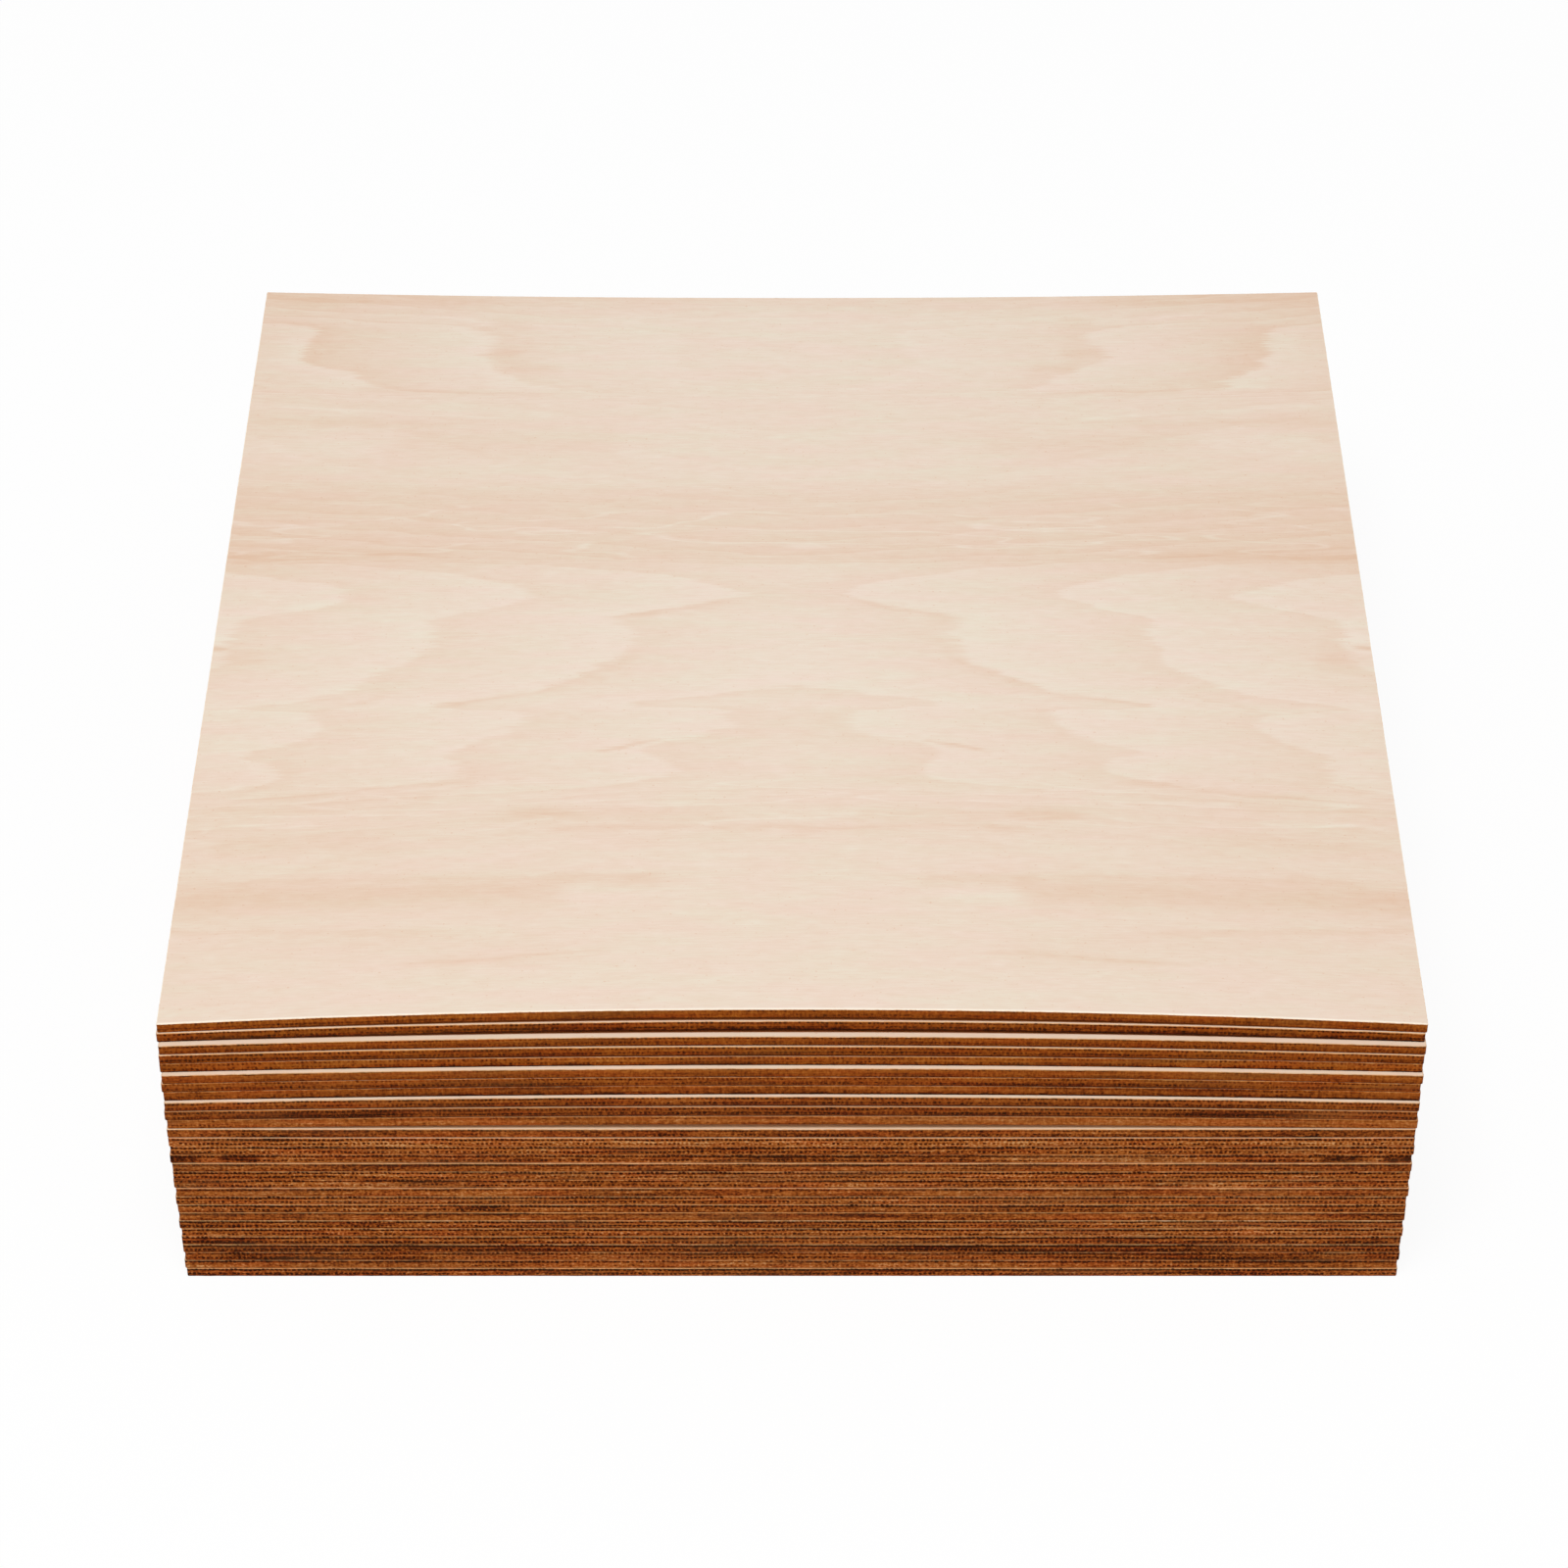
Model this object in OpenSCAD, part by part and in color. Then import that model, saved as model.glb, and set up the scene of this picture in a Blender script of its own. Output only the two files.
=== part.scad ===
// Stack of thin square plywood sheets, one lying on another.
// The lower sheets are flat. The upper ones have warped: the middle of each front edge
// rises and the back corners lift, so that gaps open between them at the front.
// Millimetres, +Z up, front at -Y, origin on the floor under the middle of the stack.
// Sheets are counted by place from the top, so place 1 is the sheet that shows.

/* [Sheet] */
// Side of a sheet across the front
sheet_w = 300; // [100:1:610]
// Side of a sheet from front to back
sheet_l = 300; // [100:1:610]
// Thickness of a sheet
sheet_t = 2.7; // [1.5:0.1:6]
// How much larger the top sheet is cut than the bottom one
cut_spread = 3; // [0:0.5:4]

/* [Stack] */
// Number of sheets
sheet_count = 29; // [14:1:60]
// How far an ordinary sheet stands out at the front past the sheet on it
plain_step = 0.1; // [0:0.05:0.5]
// Sheets that stand out further: place from the top, and how far
proud_steps = [
    [2, 0.4], [3, 1.5], [4, 0.4], [6, 1.2], [9, 0.9], [10, 0.3], [12, 0.3], [13, 0.4],
    [16, 0.3], [19, 0.3], [29, 0.2]
]; // [0:0.1:3]
// How far a sheet may sit to either side of the middle
side_jog = 0.2; // [0:0.1:1]

/* [Warp] */
// Gap under the middle of each warped sheet's front edge, from the top sheet down
front_gaps = [0.9, 1.0, 0.2, 0.5, 0.1, 0.1, 0.1, 0.1, 0.5, 0.3, 1.4]; // [0.1:0.1:2]
// Lift of the top sheet's back corners above the middle of its back edge
back_lift = 2; // [0:0.5:6]

/* [Hidden] */
// Cells of a warped sheet's surface, across the front and from front to back
warp_cols = 16;
warp_rows = 4;
// Turn between one sheet's place in the side-to-side scatter and the next one's, in degrees
scatter_turn = 137.5;
veneer_colour = "#E8D4C1";

// Side of the sheet at a place, cut a little larger towards the top
function cut_side(nominal, place) =
    nominal + cut_spread * (0.5 - (place - 1) / (sheet_count - 1));

// How far the sheet at a place stands out past the one on it
function front_step(place) =
    let (proud = [for (step = proud_steps) if (step[0] == place) step[1]])
    len(proud) > 0 ? proud[0] : plain_step;

// How far the sheet at a place stands out past the top sheet
function reach(place) = place == 1 ? 0 : reach(place - 1) + front_step(place);

// Rise of the middle of a sheet's front edge: all the gaps from it down to the flat sheets
function front_rise(place) =
    place > len(front_gaps) ? 0 : front_gaps[place - 1] + front_rise(place + 1);

function left_edge(place) =
    side_jog * sin(scatter_turn * place) - cut_side(sheet_w, place) / 2;
function front_edge(place) = top_front - reach(place);
function underside(place) = (sheet_count - place) * sheet_t;
function two_digits(number) = str(number < 10 ? "0" : "", number);

// The stack is centred from the bottom sheet's front edge to the top sheet's back edge
top_front = (reach(sheet_count) - cut_side(sheet_l, 1)) / 2;

// Plan of the warp: as wide and as deep as all the warped sheets together
warp_half_w = cut_side(sheet_w, 1) / 2 + side_jog;
warp_front = front_edge(len(front_gaps));
warp_back = front_edge(1) + cut_side(sheet_l, 1);

// Grid lines of a warped sheet: its own edges, and between them lines that all the sheets share
function grid_x(place, col) =
    col == 0 ? left_edge(place)
    : col == warp_cols ? left_edge(place) + cut_side(sheet_w, place)
    : warp_half_w * (2 * col / warp_cols - 1);
function grid_y(place, row) =
    row == 0 ? front_edge(place)
    : row == warp_rows ? front_edge(place) + cut_side(sheet_l, place)
    : warp_front + (warp_back - warp_front) * row / warp_rows;

// Height of a sheet's warp above its flat level, over a point of the plan
function warp_height(place, x, y) =
    let (
        across = x / warp_half_w,
        along = (y - warp_front) / (warp_back - warp_front),
        crown = front_rise(place) * (1 - across * across) * (1 - along),
        share = front_rise(place) / front_rise(1)
    )
    crown + share * back_lift * across * across * along;

// Node names count the sheets as they were laid, from the bottom up

// A flat sheet from the lower part of the stack
module flat_sheet(place) {
    translate([left_edge(place), front_edge(place), underside(place)])
        cube([cut_side(sheet_w, place), cut_side(sheet_l, place), sheet_t]);
}

// A warped sheet: one even thickness between two copies of the warp's surface
module warped_sheet(place) {
    lower = [
        for (row = [0 : warp_rows], col = [0 : warp_cols])
            let (x = grid_x(place, col), y = grid_y(place, row))
            [x, y, underside(place) + warp_height(place, x, y)]
    ];
    upper = [for (point = lower) point + [0, 0, sheet_t]];

    // Index of a point, on the lower surface, or on the upper one with up = 1
    function at(col, row, up) = up * len(lower) + row * (warp_cols + 1) + col;

    // A wall panel that stands on the edge from one grid point to the next, facing right of it
    function wall(a, b) = [at(a.x, a.y, 0), at(a.x, a.y, 1), at(b.x, b.y, 1), at(b.x, b.y, 0)];

    top_faces = [
        for (row = [0 : warp_rows - 1], col = [0 : warp_cols - 1])
            each [
                [at(col, row, 1), at(col, row + 1, 1), at(col + 1, row + 1, 1)],
                [at(col, row, 1), at(col + 1, row + 1, 1), at(col + 1, row, 1)]
            ]
    ];
    bottom_faces = [
        for (row = [0 : warp_rows - 1], col = [0 : warp_cols - 1])
            each [
                [at(col, row, 0), at(col + 1, row + 1, 0), at(col, row + 1, 0)],
                [at(col, row, 0), at(col + 1, row, 0), at(col + 1, row + 1, 0)]
            ]
    ];
    front_and_back = [
        for (col = [0 : warp_cols - 1])
            each [wall([col, 0], [col + 1, 0]), wall([col + 1, warp_rows], [col, warp_rows])]
    ];
    left_and_right = [
        for (row = [0 : warp_rows - 1])
            each [wall([0, row + 1], [0, row]), wall([warp_cols, row], [warp_cols, row + 1])]
    ];
    polyhedron(
        points = concat(lower, upper),
        faces = concat(top_faces, bottom_faces, front_and_back, left_and_right)
    );
}

module sheet(place) {
    color(veneer_colour)
        if (place <= len(front_gaps)) warped_sheet(place);
        else flat_sheet(place);
}

for (laid = [1 : sheet_count])
    sheet(sheet_count + 1 - laid);
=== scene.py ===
"""Looks of a stack of laser-cut basswood plywood sheets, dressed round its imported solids.

Every length in a class below is in millimetres, and MM turns it to Blender's metres.
Sheets are counted from the bottom up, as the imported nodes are.
"""

from __future__ import annotations

import logging
import math
from dataclasses import dataclass
from enum import Enum, IntEnum

import bmesh
import bpy
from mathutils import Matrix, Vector, noise

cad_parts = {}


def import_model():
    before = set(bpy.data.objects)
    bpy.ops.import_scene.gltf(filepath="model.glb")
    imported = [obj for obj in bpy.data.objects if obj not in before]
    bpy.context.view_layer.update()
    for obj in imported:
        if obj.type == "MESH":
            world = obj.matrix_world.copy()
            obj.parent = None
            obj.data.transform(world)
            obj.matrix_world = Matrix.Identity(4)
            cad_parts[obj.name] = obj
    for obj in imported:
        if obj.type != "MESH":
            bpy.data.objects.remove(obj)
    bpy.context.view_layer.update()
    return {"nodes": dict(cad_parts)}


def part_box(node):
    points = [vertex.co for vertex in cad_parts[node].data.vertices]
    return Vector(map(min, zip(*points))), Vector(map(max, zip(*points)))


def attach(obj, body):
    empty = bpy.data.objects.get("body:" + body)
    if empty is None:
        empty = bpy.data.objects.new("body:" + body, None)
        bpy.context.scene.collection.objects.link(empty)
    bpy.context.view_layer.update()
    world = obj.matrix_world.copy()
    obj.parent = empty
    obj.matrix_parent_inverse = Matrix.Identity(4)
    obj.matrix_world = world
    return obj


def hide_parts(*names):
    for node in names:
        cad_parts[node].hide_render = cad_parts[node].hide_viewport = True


MM = 0.001
BODY = "root"
WHITE = "#FFFFFF"
WOOD_IOR = 1.5

Curve = tuple[tuple[float, float], ...]
Rows = tuple[tuple[float, ...], ...]
Node = bpy.types.Node
Input = Node | bpy.types.NodeSocket | float | str | tuple[float, ...]

log = logging.getLogger("plywood_stack")


class Face(IntEnum):
    """Material slots of a sheet's mesh."""

    VENEER = 0
    CUT_EDGE = 1


class Attribute(str, Enum):
    """Values that a sheet's mesh carries for its materials."""

    INSIDE = "inside"
    COVERED = "covered"
    SHEET = "sheet"


def linear(code: str) -> tuple[float, float, float, float]:
    """Turn an sRGB hex colour to the linear colour that a shader takes.

    Args:
        code: Six hex digits with a leading hash.

    Returns:
        Linear red, green and blue, with an alpha of 1.
    """
    channels = (int(code[start:start + 2], 16) / 255 for start in (1, 3, 5))
    red, green, blue = (c / 12.92 if c <= 0.04045 else ((c + 0.055) / 1.055) ** 2.4 for c in channels)
    return red, green, blue, 1.0


class Shader:
    """A node tree under construction, with the few patterns that the finishes share."""

    def __init__(self, tree: bpy.types.NodeTree) -> None:
        """Start from an empty tree."""
        self.tree = tree
        tree.nodes.clear()

    def add(self, kind: str, inputs: dict[int | str, Input] | None = None, **settings: object) -> Node:
        """Add one node with its settings, and fill or link its inputs.

        Args:
            kind: Blender's name for the node's type without ShaderNode in front, then its operation, if any.
            inputs: What goes into each input; a node stands for its first output, a hex code for its colour.
            **settings: The node's own properties.

        Returns:
            The new node.
        """
        kind, _, operation = kind.partition(" ")
        node = self.tree.nodes.new(kind if kind.startswith("NodeGroup") else f"ShaderNode{kind}")
        if operation:
            node.operation = operation
        for name, value in settings.items():
            setattr(node, name, value)
        for key, value in (inputs or {}).items():
            if isinstance(value, Node):
                value = value.outputs[0]
            if isinstance(value, bpy.types.NodeSocket):
                self.tree.links.new(value, node.inputs[key])
            else:
                node.inputs[key].default_value = linear(value) if isinstance(value, str) else value
        return node

    def place(self) -> Node:
        """Add the object's own coordinates in millimetres."""
        own = self.add("TexCoord").outputs["Object"]
        return self.add("VectorMath SCALE", {0: own, "Scale": 1 / MM})

    def clouds(self, place: Input, size: tuple[float, float, float], detail: float = 2.0) -> Node:
        """Add soft noise whose patches have a real size.

        Args:
            place: Coordinates in millimetres.
            size: Size of a patch along each coordinate, in millimetres.
            detail: How many finer layers are laid over the patches.

        Returns:
            Noise from 0 to 1, about 0.5 on average.
        """
        stretched = self.add("VectorMath DIVIDE", {0: place, 1: size})
        return self.add("TexNoise", {"Vector": stretched, "Scale": 1.0, "Detail": detail})

    def sway(self, base: Input, cloud: Input, reach: float) -> Node:
        """Let noise push a value up and down.

        Args:
            base: The value without the noise.
            cloud: Noise from 0 to 1.
            reach: Size of the whole swing.

        Returns:
            The value with the noise.
        """
        centred = self.add("Math SUBTRACT", {0: cloud, 1: 0.5})
        return self.add("Math MULTIPLY_ADD", {0: centred, 1: reach, 2: base})

    def follow(self, value: Input, points: Curve, reach: tuple[float, float] = (0.0, 1.0)) -> Node:
        """Add a smooth curve through given points.

        Args:
            value: The quantity that runs along the curve.
            points: Pairs of that quantity and of the result, in rising order.
            reach: Lowest and highest result that the curve may need.

        Returns:
            The curve's result, in its own units.
        """
        first, last = points[0][0], points[-1][0]
        share = self.add("MapRange", {"Value": value, "From Min": first, "From Max": last})
        node = self.add("FloatCurve", {"Value": share})
        curve = node.mapping.curves[0]
        scaled = [((x - first) / (last - first), (y - reach[0]) / (reach[1] - reach[0])) for x, y in points]
        for x, y in scaled[1:-1]:
            curve.points.new(x, y)
        curve.points[0].location = scaled[0]
        curve.points[len(scaled) - 1].location = scaled[-1]
        for point in curve.points:
            point.handle_type = "AUTO_CLAMPED"
        node.mapping.update()
        return self.add("MapRange", {"Value": node, "To Min": reach[0], "To Max": reach[1]})

    def stain(self, base: Input, share: Input, colour: Input, how: str = "MIX") -> bpy.types.NodeSocket:
        """Lay a stain over a colour.

        Args:
            base: The colour to start from.
            share: How strongly the stain covers it.
            colour: The stain's colour.
            how: Blender's name for the way in which two colours mix.

        Returns:
            The stained colour.
        """
        inputs = {"Factor": share, 6: base, 7: colour}
        return self.add("Mix", inputs, data_type="RGBA", blend_type=how).outputs[2]

    def dress(self, colour: Input, rough: Input, gloss: float, bump: Input) -> None:
        """Finish a material as wood without varnish.

        Args:
            colour: The wood's colour.
            rough: Its roughness.
            gloss: How strongly it reflects, as a specular level.
            bump: Its relief.
        """
        looks = {"Base Color": colour, "Roughness": rough, "Normal": bump, "Specular IOR Level": gloss}
        self.add("OutputMaterial", {"Surface": self.add("BsdfPrincipled", {**looks, "IOR": WOOD_IOR})})


def start_material(name: str) -> tuple[bpy.types.Material, Shader]:
    """Make a material and give it with its empty tree."""
    material = bpy.data.materials.new(name)
    material.use_nodes = True
    return material, Shader(material.node_tree)


def streak_group(name: str) -> bpy.types.NodeTree:
    """Make the node group that draws one streak from its sizes.

    Args:
        name: The group's name.

    Returns:
        The new group.
    """
    group = bpy.data.node_groups.new(name, "ShaderNodeTree")
    for socket in ("Out", "Depth", "Middle", "Half Width", "Start", "End", "Tone", "Lean", "Fade", "Base"):
        group.interface.new_socket(socket, in_out="INPUT", socket_type="NodeSocketFloat")
    group.interface.new_socket("Tone", in_out="OUTPUT", socket_type="NodeSocketFloat")
    shader = Shader(group)
    given = shader.add("NodeGroupInput").outputs
    leaning = {0: given["Out"], 1: given["Lean"], 2: given["Middle"]}
    middle = shader.add("Math MULTIPLY_ADD", leaning)
    across = shader.add("Math SUBTRACT", {0: given["Depth"], 1: middle})
    share = shader.add("Math DIVIDE", {0: across, 1: given["Half Width"]})
    square = shader.add("Math MULTIPLY", {0: share, 1: share})
    falling = shader.add("Math MULTIPLY", {0: square, 1: -1.0})
    ridge = shader.add("Math EXPONENT", {0: falling})
    before = shader.add("Math SUBTRACT", {0: given["Start"], 1: given["Fade"]})
    after = shader.add("Math ADD", {0: given["End"], 1: given["Fade"]})
    rising, ending = (
        shader.add(
            "MapRange",
            {"Value": given["Out"], "From Min": nothing, "From Max": given[full]},
            interpolation_type="SMOOTHSTEP",
        )
        for nothing, full in ((before, "Start"), (after, "End"))
    )
    length = shader.add("Math MULTIPLY", {0: rising, 1: ending})
    shape = shader.add("Math MULTIPLY", {0: ridge, 1: length})
    tone = shader.add("Math MULTIPLY_ADD", {0: shape, 1: given["Tone"], 2: given["Base"]})
    shader.add("NodeGroupOutput", {"Tone": tone})
    return group


@dataclass(frozen=True)
class GrainStreak:
    """One streak along the grain, the same on both sides of the centre line.

    Attributes:
        depth: Distance of its middle from the back edge, where it meets the centre line.
        half_width: Half of its width across the grain.
        start: Distance of its inner end from the centre line.
        end: Distance of its outer end from the centre line.
        tone: How much it adds to the tone.
        fade: Length over which each end fades out.
        lean: How far it moves to the front for each millimetre outwards.
    """

    depth: float
    half_width: float
    start: float
    end: float
    tone: float
    fade: float = 12.0
    lean: float = 0.0

    def lay(
        self, shader: Shader, group: bpy.types.NodeTree, out: Input, depth: Input, base: Input
    ) -> Node:
        """Lay the streak over a tone.

        Args:
            shader: The material's tree.
            group: The node group that draws a streak.
            out: Distance from the centre line.
            depth: Distance across the streaks.
            base: The tone so far.

        Returns:
            The tone with the streak in it.
        """
        sizes = {
            "Out": out, "Depth": depth, "Middle": self.depth, "Half Width": self.half_width,
            "Start": self.start, "End": self.end, "Tone": self.tone, "Lean": self.lean, "Fade": self.fade,
            "Base": base,
        }
        return shader.add("Group", sizes, node_tree=group)


@dataclass(frozen=True)
class BasswoodVeneer:
    """Rotary-cut basswood face veneer, given a sanding and left unvarnished.

    The real wood is a soft, even, nearly poreless hardwood. It gives the eye a matt pale cream with soft
    pinkish rings and short fine fibres. Real fibres are finer than a pixel, so they are drawn coarser here.

    The rings are contour lines of one wavy edge, repeated outwards from the centre line. Where that
    edge runs steeply, they close up into straight grain, and where it turns, they make tongues.

    Attributes:
        back: Where the back edge lies, along Y.
    """

    back: float
    # The wood's two pale hues, and the colour that its dark grain goes to
    straw: str = "#ECE0CE"
    rosy: str = "#EFDCCD"
    tan: str = "#E1BFA4"
    # A painted highlight along the top sheet's front rim, the laser's tanned rim and singed line, and the
    # fume brown of the upper and of the lower sheets, which is partly painted shade in the gaps between the
    # sheets
    rim_highlight_colour: str = "#FFF4E4"
    tanned: str = "#E7B886"
    singed: str = "#C68A48"
    smoke_and_gap_shade: str = "#B26C36"
    faint_smoke_and_gap_shade: str = "#EFCFAE"
    half_side: float = 150.0
    ring_width: float = 50.0
    ring_tone: float = 0.26
    ring_mean: float = 0.48
    middle_curve: float = 14.0
    roughness: float = 0.62
    roughness_swing: float = 0.08
    gloss: float = 0.3
    relief: float = 0.05
    relief_share: float = 0.12
    # How far noise moves the rings, the whole figure to the sides, and the figure to the back
    wander: float = 22.0
    feather: float = 11.0
    ripple: float = 4.0
    # How strongly the fine grain shows
    thread_tone: float = -0.24
    fibre_tone: float = 0.38
    fleck_tone: float = 0.36
    mottle_tone: float = 0.4
    # Lowest and highest result of the curves for the ring's edge and for the rings' strength
    edge_reach: tuple[float, float] = (-650.0, 350.0)
    ring_reach: tuple[float, float] = (0.0, 2.0)

    # Sheet counted from the bottom, and how strongly the rim that sticks out is singed
    singeing: Curve = (
        (1, 0.85), (17, 0.85), (18, 0.25), (19, 0.9), (20, 0.95), (21, 0.1), (25, 0.1), (26, 0.55),
        (27, 0.1), (29, 0.1),
    )
    # Depth from the back edge, and how far out the ring's edge lies there
    ring_edge: Curve = (
        (0, 330), (14, 172), (16.5, 141), (20, 135), (25, 136), (30, 139), (36, 134), (41, 126),
        (45, 121), (47.5, 105), (49, 75), (52, 0), (60, -45), (66, -85), (80, -120), (90, -160),
        (100, -240), (112, -340), (121, -420), (124.6, -460), (126, -520), (128, -542), (132, -562),
        (136, -575), (140, -580), (144, -573), (147, -562), (150, -553), (156, -555), (163, -554),
        (168, -551), (174, -541), (180, -533), (183, -522), (186.5, -506), (188.5, -528), (193, -529),
        (198, -525), (202, -516), (205, -510), (208, -514), (213, -515), (216.6, -509), (219, -494),
        (222, -450), (230, -330), (240, -250), (252, -215), (270, -160), (300, -60),
    )
    # Share of a ring from its edge outwards, and its tone: a pale edge, then darker up to the next edge
    ring_profile: Curve = (
        (0, 0.15), (0.03, 0.0), (0.1, 0.06), (0.25, 0.27), (0.5, 0.45), (0.75, 0.70), (0.88, 0.92),
        (0.94, 1.0), (0.97, 0.75), (1, 0.15),
    )
    # Depth from the back edge, and how strongly the rings show there, at the middle and at the sides
    middle_rings: Curve = (
        (0, 0.0), (45, 0.0), (55, 0.2), (90, 0.3), (100, 0.5), (124, 0.8), (130, 1.0), (215, 0.9),
        (224, 0.5), (240, 0.2), (265, 0.1), (300, 0.0),
    )
    side_rings: Curve = (
        (0, 0.8), (14, 1.3), (20, 2.0), (42, 1.9), (48, 1.2), (56, 0.5), (90, 0.4), (100, 0.7),
        (124, 1.0), (130, 1.0), (215, 1.0), (224, 0.8), (240, 0.4), (265, 0.15), (300, 0.0),
    )
    # Depth from the back edge, and how dark the wood is there on the whole
    band_tone: Curve = (
        (0, 0.34), (8, 0.20), (16, 0.13), (30, 0.13), (45, 0.17), (60, 0.19), (85, 0.19), (92, 0.26),
        (98, 0.40), (110, 0.41), (118, 0.44), (123, 0.46), (127, 0.33), (134, 0.20), (145, 0.17),
        (180, 0.17), (200, 0.20), (212, 0.23), (222, 0.28), (228, 0.31), (236, 0.31), (246, 0.25),
        (262, 0.25), (270, 0.25), (280, 0.25), (300, 0.22),
    )
    # Depth from the back edge, and how much darker the sides are there than the middle
    side_tone: Curve = (
        (0, 0.45), (14, 0.38), (30, 0.33), (45, 0.22), (60, 0.16), (75, 0.16), (90, 0.22), (125, 0.22),
        (135, 0.10), (180, 0.08), (225, 0.12), (262, 0.14), (270, 0.10), (300, 0.10),
    )
    # Depth from the back edge, and how many pale threads run through the grain there
    threads: Curve = (
        (0, 0.5), (14, 0.3), (40, 0.1), (95, 0.1), (104, 1.0), (121, 1.0), (127, 0.2), (214, 0.2),
        (221, 0.7), (234, 0.6), (242, 0.2), (300, 0.0),
    )
    # Values of each grain streak, and of two streaks of painted light and shade. A higher tone is darker
    streaks: Rows = (
        (3.6, 1.8, 105, 130, 0.22, 30), (20.2, 0.7, 93, 116, -0.18, 12, -0.09),
        (14.5, 2.0, 79, 83, 0.20, 6), (29, 2.2, 80, 86, 0.20, 6), (35.8, 2.4, 71, 78, 0.20, 6),
        (53.1, 0.9, 74, 118, 0.20, 12, -0.055), (67.5, 0.7, 89, 142, -0.14, 12, -0.087),
        (62.5, 2.2, 100, 152, 0.18, 26), (72, 6.0, 60, 106, 0.14, 18), (73.5, 5.0, 116, 142, -0.12),
        (122.6, 1.8, 105, 152, 0.22, 20), (138.4, 1.0, 25, 45, 0.22, 5, 0.24),
        (142.2, 1.6, 45, 63, 0.14, 5, 0.58), (164.2, 1.0, 72, 90, 0.24, 5, 0.24),
        # The pale streak at depth 157.5 and the dark one at 161.4, near the side rims, are painted light and
        # shade of a small dent
        (142.8, 1.0, 106, 121, 0.16, 5, 0.37), (157.5, 1.2, 147, 152, -0.36, 2),
        (161.4, 1.0, 149, 152, 0.60, 3), (166, 3.0, 141, 152, 0.16, 8),
        (190.6, 0.7, 40, 48, 0.50, 5, 0.28), (208.1, 0.8, 90, 128, 0.20, 12, 0.1),
        (226, 0.9, 121, 140, 0.20), (231.5, 0.7, 120, 137, -0.22, 5), (239, 4.0, 106, 137, 0.12),
        (229, 1.7, 60, 69, 0.28, 7), (230, 2.6, 26, 70, 0.12), (234.8, 0.9, 0, 57, 0.20, 6),
        (231, 2.0, 0, 10, -0.14), (222, 3.0, 95, 122, 0.10), (258.4, 5.4, 64, 152, 0.32, 10),
        (254.2, 2.3, 38, 57, 0.26, 8), (252.8, 0.9, 60, 130, 0.12, 20), (260.4, 1.6, 42, 54, -0.10, 6),
        (278.5, 1.2, 100, 152, 0.20, 24, -0.06), (276, 4.0, 64, 122, 0.08), (283, 2.6, 62, 84, 0.10),
        (277.4, 0.9, 56, 86, 0.24, 12, 0.065),
    )

    def rings(self, shader: Shader, out: Input, depth: Input) -> Node:
        """Add the bands and the rings in them.

        Args:
            shader: The material's tree.
            out: Distance from the centre line, with the grain's waver in it.
            depth: Distance from the back edge, with the grain's waver in it.

        Returns:
            How dark the wood is, from 0 for pale to about 1.
        """
        edge = shader.follow(depth, self.ring_edge, self.edge_reach)
        beyond = shader.add("Math SUBTRACT", {0: out, 1: edge})
        count = shader.add("Math DIVIDE", {0: beyond, 1: self.ring_width})
        part = shader.add("Math FRACT", {0: count})
        ring = shader.follow(part, self.ring_profile)
        ring = shader.add("Math SUBTRACT", {0: ring, 1: self.ring_mean})
        outward = shader.add("MapRange", {"Value": out, "From Max": self.half_side})
        middle = shader.follow(depth, self.middle_rings, self.ring_reach)
        side = shader.follow(depth, self.side_rings, self.ring_reach)
        strength = shader.add("Mix", {"Factor": outward, 2: middle, 3: side})
        ring = shader.add("Math MULTIPLY", {0: ring, 1: strength})
        band = shader.follow(depth, self.band_tone)
        tone = shader.add("Math MULTIPLY_ADD", {0: ring, 1: self.ring_tone, 2: band})
        bend = shader.add("Math MULTIPLY", {0: outward, 1: outward})
        darker = shader.follow(depth, self.side_tone)
        return shader.add("Math MULTIPLY_ADD", {0: bend, 1: darker, 2: tone})

    def figure(self, shader: Shader, place: Input) -> Node:
        """Add the whole figure of the grain.

        Args:
            shader: The material's tree.
            place: Coordinates in millimetres.

        Returns:
            How dark the wood is, from 0 for pale to about 1.
        """
        across, along, _ = shader.add("SeparateXYZ", {0: place}).outputs
        wander = shader.clouds(place, (46.0, 13.0, 9.0), detail=3.0)
        ripple = shader.clouds(place, (26.0, 5.0, 9.0))
        feather = shader.clouds(place, (34.0, 0.7, 9.0), detail=3.0)
        rounding = self.middle_curve ** 2
        square = shader.add("Math MULTIPLY_ADD", {0: across, 1: across, 2: rounding})
        out = shader.add("Math SQRT", {0: square})
        out = shader.sway(out, feather, self.feather)
        depth = shader.add("Math SUBTRACT", {0: self.back, 1: along})
        depth = shader.sway(depth, ripple, self.ripple)
        tone = self.rings(shader, shader.sway(out, wander, self.wander), depth)

        group = streak_group("grain_streak")
        for row in self.streaks:
            tone = GrainStreak(*row).lay(shader, group, out, depth, tone)

        wave = shader.clouds(place, (64.0, 7.0, 9.0))
        off_line = shader.sway(0.0, wave, 1.0)
        off_line = shader.add("Math ABSOLUTE", {0: off_line})
        thread = shader.add("MapRange", {"Value": off_line, "From Min": 0.022, "From Max": 0.006})
        plenty = shader.follow(depth, self.threads)
        thread = shader.add("Math MULTIPLY", {0: thread, 1: plenty})
        return shader.add("Math MULTIPLY_ADD", {0: thread, 1: self.thread_tone, 2: tone})

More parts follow.
